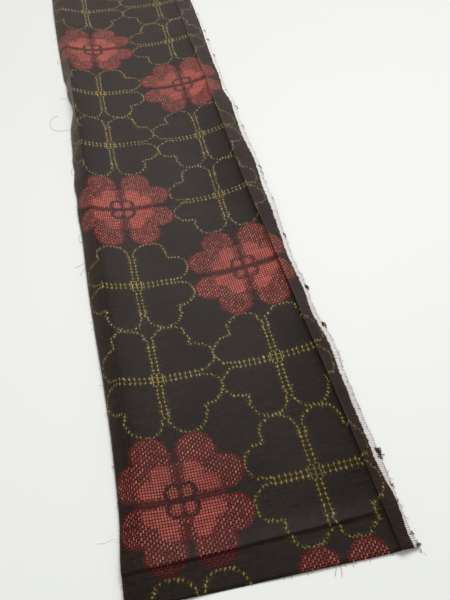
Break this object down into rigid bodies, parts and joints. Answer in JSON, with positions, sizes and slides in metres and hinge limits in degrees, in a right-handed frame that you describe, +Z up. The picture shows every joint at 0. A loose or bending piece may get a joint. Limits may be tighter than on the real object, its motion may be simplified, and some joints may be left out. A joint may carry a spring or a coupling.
{
  "type": "tsumugi silk fabric",
  "caption": "Narrow length of dark tsumugi silk with red and yellow kasuri clover flowers and a pale selvedge, lying flat between pressed seam folds along its sides.",
  "frame": {"origin": "on the table, under the middle of the cloth's box", "axes": "+Y along the cloth from the hemmed near end to the far end, +X across it from the cut side to the selvedge, +Z up from the table"},
  "size_m": [0.1854, 0.783, 0.0124],
  "materials": {
    "silk": "matte slubbed plain weave"
  },
  "bodies": {
    "root": {"cloth": "silk"}
  },
  "joints": []
}
